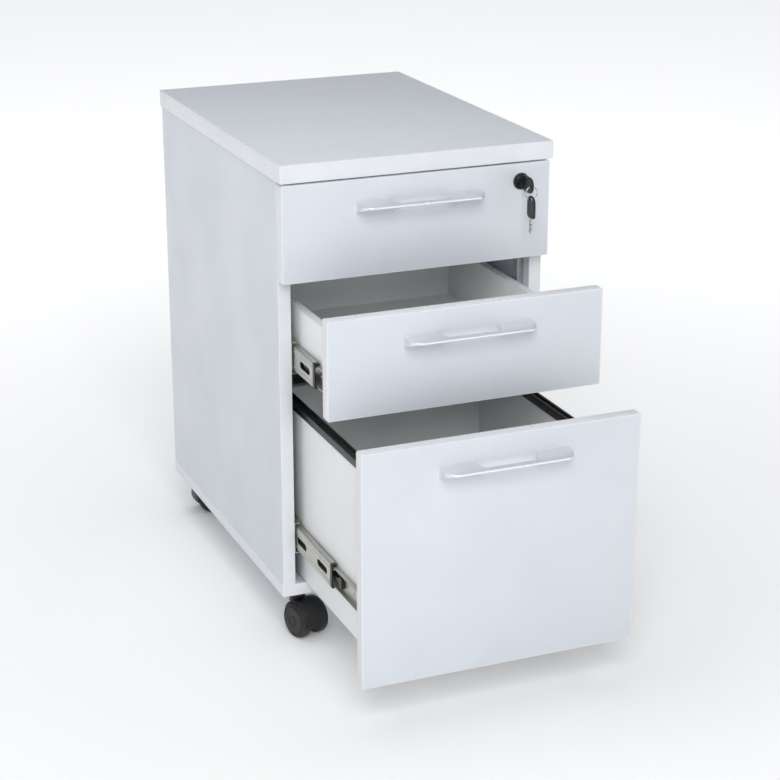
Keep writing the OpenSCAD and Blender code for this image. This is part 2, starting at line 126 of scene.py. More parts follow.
def paper_sweep():
    """Seamless white background paper. It glows, weakly near the object and more away from it: painted
    light.
    """
    finish, tree, place = new_finish("white paper sweep, matt")
    fibre = add_node(tree, "ShaderNodeTexNoise", {}, {"Vector": place, "Scale": 3.0})
    tone = add_node(tree, "ShaderNodeMix", {"data_type": "RGBA"}, {
        0: fibre.outputs["Fac"], 6: hex_colour("#FBFBFB"), 7: hex_colour("#FDFDFD")})
    # painted light: the paper's emission rises with distance from the object, so it reads whiter and its
    # shadow fades
    away = add_node(tree, "ShaderNodeVectorMath", {"operation": "LENGTH"}, {0: place}).outputs["Value"]
    painted_glow = add_node(tree, "ShaderNodeMapRange", {}, {
        "Value": away, "From Min": 0.5, "From Max": 2.3, "To Min": 0.08, "To Max": 0.50}).outputs[0]
    return show(finish, tree, {
        "Base Color": tone.outputs[2], "Roughness": 0.9, "Specular IOR Level": 0.1,
        "Emission Color": tone.outputs[2], "Emission Strength": painted_glow})


bm = bmesh.new()
bmesh.ops.create_grid(bm, x_segments=1, y_segments=1, size=FLOOR_HALF)
floor_mesh = bpy.data.meshes.new("floor")
bm.to_mesh(floor_mesh)
bm.free()
floor = bpy.data.objects.new("floor", floor_mesh)
floor_mesh.materials.append(paper_sweep())
bpy.context.collection.objects.link(floor)

world = bpy.data.worlds.new("studio")
world.use_nodes = True
world.node_tree.nodes["Background"].inputs["Color"].default_value = hex_colour("#F4F6FA")
world.node_tree.nodes["Background"].inputs["Strength"].default_value = 0.36
bpy.context.scene.world = world
bpy.context.scene.view_settings.view_transform = "Standard"

# name, place, what it looks at, side of the square, watts
SOFT_BOXES = [
    ("key", (-1.9, -5.3, 4.5), (0, 0, 0.35), 3.6, 244),
    ("left", (-3.6, -0.2, 1.8), (0, 0, 0.35), 2.4, 5),
    ("top", (-0.3, 0.6, 4.2), (0, 0, 0), 3.0, 40),
]
for name, place, target, size, watts in SOFT_BOXES:
    lamp = bpy.data.lights.new(name, "AREA")
    lamp.shape = "SQUARE"
    lamp.size = size
    lamp.energy = watts
    light = bpy.data.objects.new(name, lamp)
    light.location = place
    light.rotation_euler = (Vector(target) - Vector(place)).to_track_quat("-Z", "Y").to_euler()
    bpy.context.collection.objects.link(light)
print("lights:", len(SOFT_BOXES))

# %% [markdown]
# ## Finishes
# Each finish starts from the real stuff: what it is and how its surface was made. The patterns read
# object coordinates in metres, so a grain of so many millimetres keeps its size on every piece.

# %% Pattern helper


def grain(tree, place, size_mm, detail=2.0, stretch=(1, 1, 1)):
    """Noise whose blobs are about size_mm across, stretched along the axes by these factors."""
    scale = [1 / (size_mm * MM * s) for s in stretch]
    mapped = add_node(tree, "ShaderNodeMapping", {}, {"Vector": place, "Scale": scale})
    return add_node(tree, "ShaderNodeTexNoise", {}, {
        "Vector": mapped.outputs[0], "Scale": 1.0, "Detail": detail, "Roughness": 0.55}).outputs["Fac"]


def between(tree, factor, low, high):
    """A number that runs from low to high as the pattern runs over its middle range."""
    return add_node(tree, "ShaderNodeMapRange", {}, {
        "Value": factor, "From Min": 0.3, "From Max": 0.7, "To Min": low, "To Max": high}).outputs[0]


def blend(tree, factor, first, second):
    """A colour between two, by a pattern."""
    mix = add_node(tree, "ShaderNodeMix", {"data_type": "RGBA"}, {0: factor, 6: first, 7: second})
    return mix.outputs[2]


def relief(tree, height, depth_mm, strength=1.0, under=None):
    """Bump of this depth. It may stand on another bump."""
    inputs = {"Height": height, "Distance": depth_mm * MM, "Strength": strength}
    if under is not None:
        inputs["Normal"] = under
    return add_node(tree, "ShaderNodeBump", {}, inputs).outputs[0]


# %% [markdown]
# Melamine-faced chipboard: paper soaked in resin, pressed on the board under a pearl-textured steel
# plate. The plate leaves a fine orange-peel of about 1 mm, and the chips below telegraph through
# as faint swells of 20 to 40 mm. Handling leaves slightly shinier patches.

# %% Melamine board


def melamine(name, light, dark):
    finish, tree, place = new_finish(name)
    pearl = add_node(tree, "ShaderNodeTexVoronoi", {"feature": "SMOOTH_F1"}, {
        "Vector": place, "Scale": 1 / (1.1 * MM), "Smoothness": 0.8}).outputs["Distance"]
    swell = grain(tree, place, 28, 1.0)
    cloud = grain(tree, place, 120, 3.0)
    speck = grain(tree, place, 2.2, 4.0)
    tone = blend(tree, between(tree, cloud, 0, 1), hex_colour(light), hex_colour(dark))
    fleck = add_node(tree, "ShaderNodeMapRange", {}, {
        "Value": speck, "From Min": 0.66, "From Max": 0.8, "To Min": 0, "To Max": 0.10}).outputs[0]
    tone = blend(tree, fleck, tone, hex_colour("#9EA2A6"))
    normal = relief(tree, swell, 0.10, 0.35)
    normal = relief(tree, pearl, 0.05, 0.5, normal)
    return show(finish, tree, {
        "Base Color": tone, "Roughness": between(tree, cloud, 0.36, 0.48), "IOR": 1.5,
        "Normal": normal})


white_board = melamine("white melamine board, pearl-pressed", "#DCE1E7", "#D7DCE2")
box_board = melamine("white melamine drawer board, pressed", "#F1F2F2", "#ECEEEE")

# %% [markdown]
# ABS edging: an extruded plastic strip, glued round each board and scraped to a small radius. The
# extrusion leaves faint lines along the strip, and it is a touch brighter and smoother than the board.

# %% ABS edging


def abs_edging():
    finish, tree, place = new_finish("white ABS edging, extruded")
    lines = grain(tree, place, 0.6, 2.0, (20, 20, 1))
    cloud = grain(tree, place, 60, 2.0)
    tone = blend(tree, between(tree, cloud, 0, 1), hex_colour("#E5E8EB"), hex_colour("#E0E3E7"))
    return show(finish, tree, {
        "Base Color": tone, "Roughness": between(tree, lines, 0.26, 0.36), "IOR": 1.52,
        "Normal": relief(tree, lines, 0.02, 0.4)})


white_edging = abs_edging()

# %% [markdown]
# Satin-plated zinc: the handles are die-cast, bead-blasted and plated. The beads leave a very fine
# even grain, so highlights spread softly. The lip's front face gets a lighter, glossier copy of the
# finish, a painted highlight, and convex edges are painted lighter, a painted edge highlight.

# %% Plated zinc casting


def plated_zinc(name, light, dark, metallic, rough):
    finish, tree, place = new_finish(name)
    beads = grain(tree, place, 0.5, 2.0)
    flow = grain(tree, place, 26, 2.0)
    # painted highlight: convex edges, found by pointiness, are mixed towards a lighter colour
    pointiness = add_node(tree, "ShaderNodeNewGeometry").outputs["Pointiness"]
    edge = add_node(tree, "ShaderNodeMapRange", {}, {
        "Value": pointiness, "From Min": 0.5, "From Max": 0.6, "To Min": 0, "To Max": 1}).outputs[0]
    tone = blend(tree, between(tree, flow, 0, 1), hex_colour(light), hex_colour(dark))
    tone = blend(tree, edge, tone, hex_colour("#F2F4F7"))
    return show(finish, tree, {
        "Base Color": tone, "Metallic": metallic,
        "Roughness": between(tree, flow, rough - 0.04, rough + 0.04),
        "Normal": relief(tree, beads, 0.02, 0.35)})


handle_metal = plated_zinc("satin-plated zinc, die-cast", "#D6DBE4", "#CDD2DC", 0.8, 0.38)
# a lighter, glossier copy of the handle finish for the lip's front face: a painted highlight
painted_highlight_metal = plated_zinc("plated zinc, painted highlight for the lip", "#F6F8FA", "#EFF1F4", 0.3, 0.24)

# %% [markdown]
# Zinc-plated strip steel: the slides are rolled from plated coil. Rolling leaves fine lines along
# the strip, and the passivation tints the zinc in soft yellow-green and blue clouds.

# %% Zinc-plated steel


def zinc_plated(name, light, dark):
    finish, tree, place = new_finish(name)
    rolled = grain(tree, place, 0.5, 2.0, (1, 60, 1))
    cloud = grain(tree, place, 18, 3.0, (1, 2, 1))
    tone = blend(tree, between(tree, cloud, 0, 1), hex_colour(light), hex_colour(dark))
    return show(finish, tree, {
        "Base Color": tone, "Metallic": 0.85, "Roughness": between(tree, rolled, 0.30, 0.44),
        "Normal": relief(tree, rolled, 0.02, 0.3)})


slide_steel = zinc_plated("zinc-plated strip steel, rolled", "#C9C8BC", "#B9BBB8")
screw_steel = zinc_plated("zinc-plated screw steel, cold-headed", "#C6C6C4", "#AEB0B2")

# %% [markdown]
# Nickel plate on steel or brass: key blades and split rings are tumbled, then plated bright. What
# remains are hair scratches from pockets and locks. The balls of the slides are ground steel.

# %% Nickel plate and ball steel


def nickel_plated():
    finish, tree, place = new_finish("bright nickel plate, tumbled")
    scratch = grain(tree, place, 0.25, 3.0, (1, 1, 14))
    cloud = grain(tree, place, 5, 2.0)
    tone = blend(tree, between(tree, cloud, 0, 1), hex_colour("#D2D1CC"), hex_colour("#BDBBB4"))
    return show(finish, tree, {
        "Base Color": tone, "Metallic": 1.0, "Roughness": between(tree, scratch, 0.14, 0.28),
        "Normal": relief(tree, scratch, 0.01, 0.3)})


nickel = nickel_plated()
ball_steel = zinc_plated("bearing steel, ground", "#D5D6D6", "#C2C4C6")

# %% [markdown]
# Black plastics: the moulds of hoods, key bows and stops are spark-eroded, which gives a fine matt
# grain. The rails for hanging files are extruded, so they carry lines along their length. Wheel
# treads are softer and pick up grey dust from the floor.

# %% Black plastics


def moulded_black(name, tone_hex, rough, grain_mm, depth_mm, stretch=(1, 1, 1)):
    finish, tree, place = new_finish(name)
    spark = grain(tree, place, grain_mm, 3.0, stretch)
    haze = grain(tree, place, 14, 3.0)
    scuff = add_node(tree, "ShaderNodeMapRange", {}, {
        "Value": haze, "From Min": 0.55, "From Max": 0.8, "To Min": 0, "To Max": 0.35}).outputs[0]
    tone = blend(tree, scuff, hex_colour(tone_hex), hex_colour("#2B2C2E"))
    return show(finish, tree, {
        "Base Color": tone, "Roughness": between(tree, spark, rough - 0.06, rough + 0.06),
        "IOR": 1.5, "Normal": relief(tree, spark, depth_mm, 0.5)})


def tread_black():
    finish, tree, place = new_finish("black polyamide tread, moulded")
    grit = grain(tree, place, 0.8, 4.0)
    dust = grain(tree, place, 9, 4.0)
    height = add_node(tree, "ShaderNodeSeparateXYZ", {}, {"Vector": place}).outputs["Z"]
    low = add_node(tree, "ShaderNodeMapRange", {}, {
        "Value": height, "From Min": 0.0, "From Max": 0.03, "To Min": 0.30, "To Max": 0.04}).outputs[0]
    dusty = add_node(tree, "ShaderNodeMath", {"operation": "MULTIPLY"}, {0: dust, 1: low}).outputs[0]
    tone = blend(tree, dusty, hex_colour("#141416"), hex_colour("#5A5A58"))
    return show(finish, tree, {
        "Base Color": tone, "Roughness": between(tree, grit, 0.45, 0.62), "IOR": 1.53,
        "Normal": relief(tree, grit, 0.04, 0.4)})


hood_black = moulded_black("black polyamide, spark-eroded mould", "#111113", 0.40, 0.7, 0.04)
bow_black = moulded_black("black ABS, fine-moulded", "#101012", 0.36, 0.4, 0.02)
rail_black = moulded_black("black PVC, extruded", "#0F0F11", 0.34, 0.6, 0.03, (1, 40, 1))
wheel_black = tread_black()
print("finishes:", len(bpy.data.materials))

# %% [markdown]
# ## Shaping helpers
# Every piece is made the same way: a bmesh is shaped, its doubles are merged, its normals are turned
# outwards, and it becomes an object at the origin that rides on a CAD body.

# %% From bmesh to piece
MERGE = 0.002 * MM
SHARP_DEG = 32


def finish_piece(bm, name, body, finish, stands_for=(), sharp=SHARP_DEG):
    """Turns a bmesh into a finished piece on a body, and frees the bmesh."""
    bmesh.ops.remove_doubles(bm, verts=bm.verts, dist=MERGE)
    bmesh.ops.recalc_face_normals(bm, faces=bm.faces)
    mesh = bpy.data.meshes.new(name)
    bm.to_mesh(mesh)
    bm.free()
    mesh.shade_smooth()
    mesh.set_sharp_from_angle(angle=math.radians(sharp))
    mesh.materials.append(finish)
    piece = bpy.data.objects.new(name, mesh)
    bpy.context.collection.objects.link(piece)
    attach(piece, body)
    if stands_for:
        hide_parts(*stands_for)
    return piece


def new_verts(made):
    """The vertices among what a bmesh operator made."""
    return [g for g in made if isinstance(g, bmesh.types.BMVert)]


def block(bm, low, high):
    """A box between two corners."""
    low, high = Vector(low), Vector(high)
    verts = bmesh.ops.create_cube(bm, size=1)["verts"]
    bmesh.ops.scale(bm, vec=high - low, verts=verts)
    bmesh.ops.translate(bm, vec=(low + high) / 2, verts=verts)


def soften(bm, edges, radius_mm, segments=2):
    """Rounds edges."""
    bmesh.ops.bevel(bm, geom=edges, offset=radius_mm * MM, offset_type="OFFSET", affect="EDGES",
                    segments=segments, profile=0.5, material=-1, clamp_overlap=True)


def soften_creases(bm, radius_mm, segments=2, angle=30):
    """Rounds every edge that turns by more than the angle."""
    limit = math.radians(angle)
    edges = [e for e in bm.edges if len(e.link_faces) == 2 and e.calc_face_angle() > limit]
    soften(bm, edges, radius_mm, segments)


def board(name, low, high, body, finish, stands_for=(), round_mm=0.35):
    """A plain board with barely softened edges."""
    bm = bmesh.new()
    block(bm, low, high)
    soften(bm, bm.edges[:], round_mm)
    return finish_piece(bm, name, body, finish, stands_for)


def rounded(points, radius, steps=5):
    """A closed outline with its corners rounded. A radius may be given for each corner."""
    points = [Vector(p) for p in points]
    out = []
    for i, corner in enumerate(points):
        r = radius[i] if isinstance(radius, (list, tuple)) else radius
        if r <= 0:
            out.append(corner)
            continue
        before = (points[i - 1] - corner).normalized()
        after = (points[(i + 1) % len(points)] - corner).normalized()
        half = before.angle(after) / 2
        centre = corner + (before + after).normalized() * r / math.sin(half)
        first = (corner + before * r / math.tan(half) - centre) / r
        last = (corner + after * r / math.tan(half) - centre) / r
        out += [centre + r * first.slerp(last, k / steps) for k in range(steps + 1)]
    return out


def prism(bm, outline, place, along):
    """Extrudes a flat outline: place turns its (u, v) into a point, along is the way it grows."""
    face = bm.faces.new([bm.verts.new(place(u, v)) for u, v in outline])
    grown = bmesh.ops.extrude_face_region(bm, geom=[face])["geom"]
    bmesh.ops.translate(bm, vec=Vector(along), verts=new_verts(grown))


def turned(bm, profile, centre, axis, steps=64):
    """Lathe work: spins (distance along the axis, radius) points round an axis through centre."""
    axis = Vector(axis).normalized()
    side = axis.orthogonal().normalized()
    centre = Vector(centre)
    chain = [bm.verts.new(centre + axis * a + side * max(r, 0)) for a, r in profile]
    edges = [bm.edges.new(pair) for pair in zip(chain, chain[1:])]
    bmesh.ops.spin(bm, geom=chain + edges, cent=centre, axis=axis, angle=math.tau, steps=steps,
                   use_merge=True, use_duplicate=False)
    bmesh.ops.remove_doubles(bm, verts=bm.verts, dist=MERGE)


def cut(piece, tool_bm):
    """Takes a shape out of a piece."""
    bmesh.ops.recalc_face_normals(tool_bm, faces=tool_bm.faces)
    tool_mesh = bpy.data.meshes.new("tool")
    tool_bm.to_mesh(tool_mesh)
    tool_bm.free()
    tool = bpy.data.objects.new("tool", tool_mesh)
    bpy.context.collection.objects.link(tool)
    step = piece.modifiers.new("cut", "BOOLEAN")
    step.operation = "DIFFERENCE"
    step.solver = "EXACT"
    step.object = tool
    bpy.context.view_layer.update()
    evaluated = piece.evaluated_get(bpy.context.evaluated_depsgraph_get())
    result = bpy.data.meshes.new_from_object(evaluated)
    piece.modifiers.clear()
    old = piece.data
    result.materials.clear()
    for finish in old.materials:
        result.materials.append(finish)
    piece.data = result
    result.name = old.name
    bpy.data.meshes.remove(old)
    bpy.data.objects.remove(tool)
    piece.data.set_sharp_from_angle(angle=math.radians(SHARP_DEG))


def paint(name, finish):
    """Gives a CAD node that keeps its own shape a finish."""
    nodes[name].data.materials.clear()
    nodes[name].data.materials.append(finish)


# %% [markdown]
# ## Boards with glued edging
# A furniture board is cut, then a 2 mm strip is glued round it and scraped to a radius. So a board
# here is two pieces, a slab and a ring of edging, and the hairline between them is real geometry.

# %% Edged boards
BAND = 2 * MM
CORNER = 2.4 * MM
SCRAPED_MM = 1.1
SLAB_ROUND_MM = 0.15


def edging_ring(name, low, high, up, body, stands_for=()):
    """A ring of edging round a board that lies flat (up is Z) or stands as a front (up is Y)."""
    size = high - low
    width = size.x
    height, thick = (size.y, size.z) if up == "Z" else (size.z, size.y)
    bm = bmesh.new()
    verts = bmesh.ops.create_grid(bm, x_segments=1, y_segments=1, size=0.5)["verts"]
    bmesh.ops.scale(bm, vec=(width, height, 1), verts=verts)
    bmesh.ops.bevel(bm, geom=bm.verts[:], offset=CORNER, offset_type="OFFSET",
                    affect="VERTICES", segments=5, profile=0.5, material=-1)
    bm.faces.ensure_lookup_table()
    middle = bm.faces[0]
    bmesh.ops.inset_region(bm, faces=[middle], thickness=BAND, use_even_offset=True, use_boundary=True)
    bmesh.ops.delete(bm, geom=[middle], context="FACES_KEEP_BOUNDARY")
    grown = bmesh.ops.extrude_face_region(bm, geom=bm.faces[:])["geom"]
    bmesh.ops.translate(bm, vec=(0, 0, thick), verts=new_verts(grown))
    bmesh.ops.recalc_face_normals(bm, faces=bm.faces)

    def on_rim(v):
        """True on the outer outline. The inner one lies a whole band further in."""
        return abs(v.co.x) > width / 2 - BAND / 2 or abs(v.co.y) > height / 2 - BAND / 2

    rim = [e for e in bm.edges if all(on_rim(v) for v in e.verts)
           and abs(e.verts[0].co.z - e.verts[1].co.z) < 1e-6]
    soften(bm, rim, SCRAPED_MM, 3)
    if up == "Y":
        bmesh.ops.rotate(bm, cent=(0, 0, 0), matrix=Matrix.Rotation(math.pi / 2, 3, "X"), verts=bm.verts)
        bmesh.ops.translate(bm, vec=(0, thick, 0), verts=bm.verts)
    centre = (low + high) / 2
    foot = Vector((centre.x, centre.y, low.z)) if up == "Z" else Vector((centre.x, low.y, centre.z))
    bmesh.ops.translate(bm, vec=foot, verts=bm.verts)
    return finish_piece(bm, name, body, white_edging, stands_for)


top_low, top_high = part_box("top_edging")
edging_ring("top_edge_band", top_low, top_high, "Z", "carcass", ["top_edging"])
slab_low, slab_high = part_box("top_panel")
board("top_slab", slab_low, slab_high, "carcass", white_board, ["top_panel"],
      SLAB_ROUND_MM)

for n in (1, 2, 3):
    low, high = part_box(f"drawer_{n}_edging")
    edging_ring(f"front_{n}_edge_band", low, high, "Y", f"drawer_{n}", [f"drawer_{n}_edging"])
    low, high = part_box(f"drawer_{n}_front")
    board(f"front_{n}_slab", low, high, f"drawer_{n}", white_board,
          [f"drawer_{n}_front"], SLAB_ROUND_MM)
print("edged boards: 4")

# %% [markdown]
# ## Carcass
# The sides stand on the bottom panel, and their front edges carry the same strip. The side panels,
# bottom and back keep their CAD shapes, grooves and holes, and only get their finish.

# %% Carcass edging and boards
SIDE_T = 18 * MM
EDGE_ROUND_MM = 0.9

edge_low, edge_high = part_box("carcass_edging")
side_low, side_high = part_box("left_side_panel")
bottom_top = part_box("bottom_panel")[1].z
band_high = Vector((edge_high.x, edge_high.y, bottom_top))
edging_ring("bottom_edge_band", edge_low, band_high, "Z", "carcass", ["carcass_edging"])
for side, name in ((-1, "left"), (1, "right")):
    outer = side * abs(side_low.x)
    inner = outer - side * SIDE_T
    bm = bmesh.new()
    near, far = sorted((outer, inner))
    block(bm, (near, side_low.y - BAND, side_low.z), (far, side_low.y, side_high.z))
    front = [e for e in bm.edges if all(v.co.y < side_low.y - BAND / 2 for v in e.verts)
             and abs(e.verts[0].co.x - e.verts[1].co.x) < 1e-6]
    soften(bm, front, EDGE_ROUND_MM, 3)
    finish_piece(bm, f"{name}_side_edge_band", "carcass", white_edging)

for name in ("left_side_panel", "right_side_panel", "bottom_panel", "back_panel"):
    paint(name, white_board)
for name in ("panel_connectors", "rail_screws", "caster_plates", "caster_screws", "lock_bar"):
    paint(name, screw_steel)
paint("lock_bar_guides", bow_black)
print("side panels stand", round((side_high.z - side_low.z) / MM), "mm high")

# %% [markdown]
# ## Drawer boxes
# A box is two sides with a back and an inner front between them, and a bottom let in. Its top
# edges are banded, so a thin smoother strip lies along each board.

# %% Drawer boxes
BOX_T = 12 * MM
STRIP = 0.8 * MM
BOX_ROUND_MM = 0.3
INNER_FRONT_DROP = 9 * MM


def box_wall(name, low, high, body, stands_for=()):
    """A drawer-box board with a strip along its top edge."""
    low, high = Vector(low), Vector(high)
    board(name, low, (high.x, high.y, high.z - STRIP), body, box_board, stands_for,
          BOX_ROUND_MM)
    board(name + "_strip", (low.x, low.y, high.z - STRIP), high, body, white_edging,
          (), BOX_ROUND_MM)


for n in (1, 2, 3):
    body = f"drawer_{n}"
    low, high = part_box(f"{body}_frame")
    inner_top = high.z - INNER_FRONT_DROP
    box_wall(f"{body}_left_side", low, (low.x + BOX_T, high.y, high.z), body, [f"{body}_frame"])
    box_wall(f"{body}_right_side", (high.x - BOX_T, low.y, low.z), high, body)
    box_wall(f"{body}_back", (low.x + BOX_T, high.y - BOX_T, low.z),
             (high.x - BOX_T, high.y, high.z), body)
    box_wall(f"{body}_inner_front", (low.x + BOX_T, low.y, low.z),
             (high.x - BOX_T, low.y + BOX_T, inner_top), body)
    for part, finish in (("bottom", box_board), ("screws", screw_steel), ("catch", slide_steel)):
        paint(f"{body}_{part}", finish)
print("drawer box length", round((high.y - low.y) / MM), "mm")

# %% [markdown]
# ## Handles
# The grip handle is one casting: a wedge that is tall at the front panel and thin at its lip, with
# a notch behind the bar for the fingers. Its plan is drawn once, the wedge is cut by two planes,
# and every edge is rounded, which is what catches the light.

# %% Grip handles
NOTCH_FOOT = 46 * MM
NOTCH_HEAD = 36 * MM
NOTCH_DEPTH = 19.5 * MM
LIP_FALL = 4 * MM
LIP_H = 3 * MM
END_SWEEP = 18 * MM
NOTCH_ROUND = 5 * MM
# depth of the lip's front band that carries the painted highlight
LIP_FACE = 1.5 * MM


def grip_handle(name, low, high, body, node):
    half = (high.x - low.x) / 2
    reach = high.y - low.y
    foot_h = high.z - low.z
    face_y = high.y
    arc = [math.radians(90 / 8 * k) for k in range(9)]
    left = [(-half + END_SWEEP * (1 - math.cos(a)), reach - END_SWEEP * (1 - math.sin(a))) for a in arc]
    right = [(-u, v) for u, v in reversed(left)]
    notch = rounded([(NOTCH_FOOT, 0), (NOTCH_HEAD, NOTCH_DEPTH),
                     (-NOTCH_HEAD, NOTCH_DEPTH), (-NOTCH_FOOT, 0)], [0, NOTCH_ROUND, NOTCH_ROUND, 0])
    outline = [(-half, 0)] + left + right + [(half, 0)] + [tuple(p) for p in notch]
    bm = bmesh.new()
    prism(bm, outline, lambda u, v: (u, face_y - v, low.z), (0, 0, foot_h))
    bmesh.ops.recalc_face_normals(bm, faces=bm.faces)
    # a point on each cutting plane and its outward normal: the sloped top, the sloped underside
    slopes = [((0, face_y, high.z), (0, -LIP_FALL, reach)),
              ((0, face_y, low.z), (0, -(foot_h - LIP_FALL - LIP_H), -reach))]
    for point, outward in slopes:
        made = bmesh.ops.bisect_plane(bm, geom=bm.verts[:] + bm.edges[:] + bm.faces[:], dist=1e-7,
                                      plane_co=point, plane_no=outward, clear_outer=True)
        rim = [g for g in made["geom_cut"] if isinstance(g, bmesh.types.BMEdge)]
        bmesh.ops.contextual_create(bm, geom=rim)
    bmesh.ops.remove_doubles(bm, verts=bm.verts, dist=0.01 * MM)
    bmesh.ops.recalc_face_normals(bm, faces=bm.faces)
    edges = [e for e in bm.edges if len(e.link_faces) == 2 and e.calc_face_angle() > math.radians(40)
             and not all(v.co.y > face_y - 0.01 * MM for v in e.verts)]
    soften(bm, edges, 0.9, 3)
    bmesh.ops.triangulate(bm, faces=[f for f in bm.faces if len(f.verts) > 4])
    # the lip's front-facing band takes the lighter copy of the finish: a painted highlight
    front_y = face_y - reach
    for face in bm.faces:
        face.normal_update()
        if face.normal.y < -0.6 and face.calc_center_median().y < front_y + LIP_FACE:
            face.material_index = 1
    handle = finish_piece(bm, name, body, handle_metal, [node], 40)
    handle.data.materials.append(painted_highlight_metal)


for n in (1, 2, 3):
    low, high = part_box(f"drawer_{n}_handle")
    grip_handle(f"grip_handle_{n}", low, high, f"drawer_{n}", f"drawer_{n}_handle")
print("handle", round((high.x - low.x) / MM), "mm long")

# %% [markdown]
# ## Telescopic slides
# A full-extension slide is three rolled channels, one in another, on balls. Each channel is an
# outline with rounded bends, drawn once and extruded along Y. The middle channel is lightened with
# oblong windows, and a black stop cushions its front end.

# %% Channels
STEEL = 1.2 * MM
CABINET_LIP = 9.6 * MM
MIDDLE_WEB = 2.8 * MM
MIDDLE_LIP = 11 * MM
DRAWER_LIP = 5.2 * MM
PANEL_X = abs(side_low.x) - SIDE_T


def channel(name, side, web, lip, half, centre_z, start, end, body, stands_for=()):
    """A rolled channel. web and lip are distances from the side panel towards the drawer."""
    way = 1 if lip > web else -1
    outer = [(lip, -half), (web, -half), (web, half), (lip, half)]
    inner = [(lip, half - STEEL), (web + way * STEEL, half - STEEL),
             (web + way * STEEL, STEEL - half), (lip, STEEL - half)]
    bend = 2.2 * MM
    tip = 0.35 * MM
    outline = rounded(outer + inner, [tip, bend, bend, tip, tip, bend - STEEL, bend - STEEL, tip], 4)
    bm = bmesh.new()
    prism(bm, [tuple(p) for p in outline],
          lambda u, v: (side * (PANEL_X - u), start, centre_z + v), (0, end - start, 0))
    return finish_piece(bm, name, body, slide_steel, stands_for)


def oblong(bm, side, depth_low, depth_high, y, z, length, height):
    """A round-ended slot that runs along Y and goes through a web, as a tool to cut with."""
    corners = [(-length / 2, -height / 2), (length / 2, -height / 2),
               (length / 2, height / 2), (-length / 2, height / 2)]
    outline = rounded(corners, height / 2 * 0.98, 6)
    x_low = side * (PANEL_X - depth_low)
    prism(bm, [tuple(p) for p in outline], lambda u, v: (x_low, y + u, z + v),
          (-side * (depth_high - depth_low), 0, 0))


CABINET_HALF = 22.5 * MM
MIDDLE_HALF = 17.5 * MM
DRAWER_HALF = 14 * MM
WINDOW = (38 * MM, 10 * MM)
WINDOW_PITCH = 80 * MM
WINDOW_START = 18 * MM
WINDOWS = 5
STOP_LEN = 7 * MM
SLIDE_THICK = 12.7 * MM
# place along the drawer member and length of each slot, in mm
SLOTS = ((14, 6), (46, 9), (78, 5), (182, 6), (214, 9), (310, 6), (350, 9))
SLOT_H = 5 * MM

for n in (1, 2, 3):
    rail_low, rail_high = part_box(f"drawer_{n}_rails")
    mid_low, mid_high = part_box(f"middle_rails_{n}")
    cab_low, cab_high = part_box("cabinet_rails")
    z = (rail_low.z + rail_high.z) / 2
    for side, hand in ((-1, "left"), (1, "right")):
        channel(f"slide_{n}_{hand}_cabinet_member", side, 0, CABINET_LIP, CABINET_HALF, z,
                cab_low.y, cab_high.y, "carcass", ["cabinet_rails"] if n == 1 and side < 0 else ())
        middle = channel(f"slide_{n}_{hand}_middle_member", side, MIDDLE_WEB, MIDDLE_LIP, MIDDLE_HALF, z,
                         mid_low.y + STOP_LEN, mid_high.y, f"slides_{n}",
                         [f"middle_rails_{n}"] if side < 0 else ())
        inner = channel(f"slide_{n}_{hand}_drawer_member", side, SLIDE_THICK, DRAWER_LIP, DRAWER_HALF, z,
                        rail_low.y, rail_high.y, f"drawer_{n}",
                        [f"drawer_{n}_rails"] if side < 0 else ())
        windows = bmesh.new()
        for k in range(WINDOWS):
            y = mid_low.y + WINDOW_START + WINDOW[0] / 2 + k * WINDOW_PITCH
            if y + WINDOW[0] < mid_high.y:
                oblong(windows, side, MIDDLE_WEB - 2 * STEEL, MIDDLE_WEB + 3 * STEEL, y, z, *WINDOW)
        cut(middle, windows)
        holes = bmesh.new()
        for y, length in SLOTS:
            oblong(holes, side, SLIDE_THICK - 3 * STEEL, SLIDE_THICK + STEEL,
                   rail_low.y + y * MM, z, length * MM, SLOT_H)
        cut(inner, holes)

# %% [markdown]
# Two raised beads stiffen the middle member's web, and the ball cages show between the members at
# its front end. A cage is a thin strip with eight balls.

# %% Beads, cages, stops and levers
BALL_R = 1.0 * MM
BALLS = 8
BALL_OUT = 7.4 * MM
BALL_CLEAR = 1.15 * MM
CAGE_LEN = 62 * MM
CAGE_HALF_W = 1.6 * MM
CAGE_HALF_T = 0.3 * MM
CAGE_PLACE = 22 * MM
LEVER_PLACE = 112 * MM
LEVER_OUT = 6.2 * MM
LEVER_T = 4.8 * MM
BEAD_RISE = 11 * MM
BEAD_MARGIN = 3 * MM


def bead(name, side, web, way, z, start, end, body):
    """A half-round stiffening bead along a web."""
    bm = bmesh.new()
    arc = [(1.6 * MM * math.cos(math.radians(a)), 0.7 * MM * math.sin(math.radians(a)))
           for a in range(0, 181, 30)]
    outline = [(web + way * v, u) for u, v in arc]
    prism(bm, outline, lambda u, v: (side * (PANEL_X - u), start, z + v), (0, end - start, 0))
    finish_piece(bm, name, body, slide_steel)


def ball_cage(name, side, z, start, body):
    """Two strips with balls, one over and one under the drawer member."""
    bm = bmesh.new()
    for up in (-1, 1):
        level = z + up * (DRAWER_HALF + BALL_CLEAR)
        x = side * (PANEL_X - BALL_OUT)
        block(bm, (x - CAGE_HALF_W, start, level - CAGE_HALF_T),
              (x + CAGE_HALF_W, start + CAGE_LEN, level + CAGE_HALF_T))
        for k in range(BALLS):
            made = bmesh.ops.create_icosphere(bm, subdivisions=2, radius=BALL_R)["verts"]
            bmesh.ops.translate(bm, vec=(x, start + (5 + 7.4 * k) * MM, level), verts=made)
    finish_piece(bm, name, body, ball_steel, (), 60)


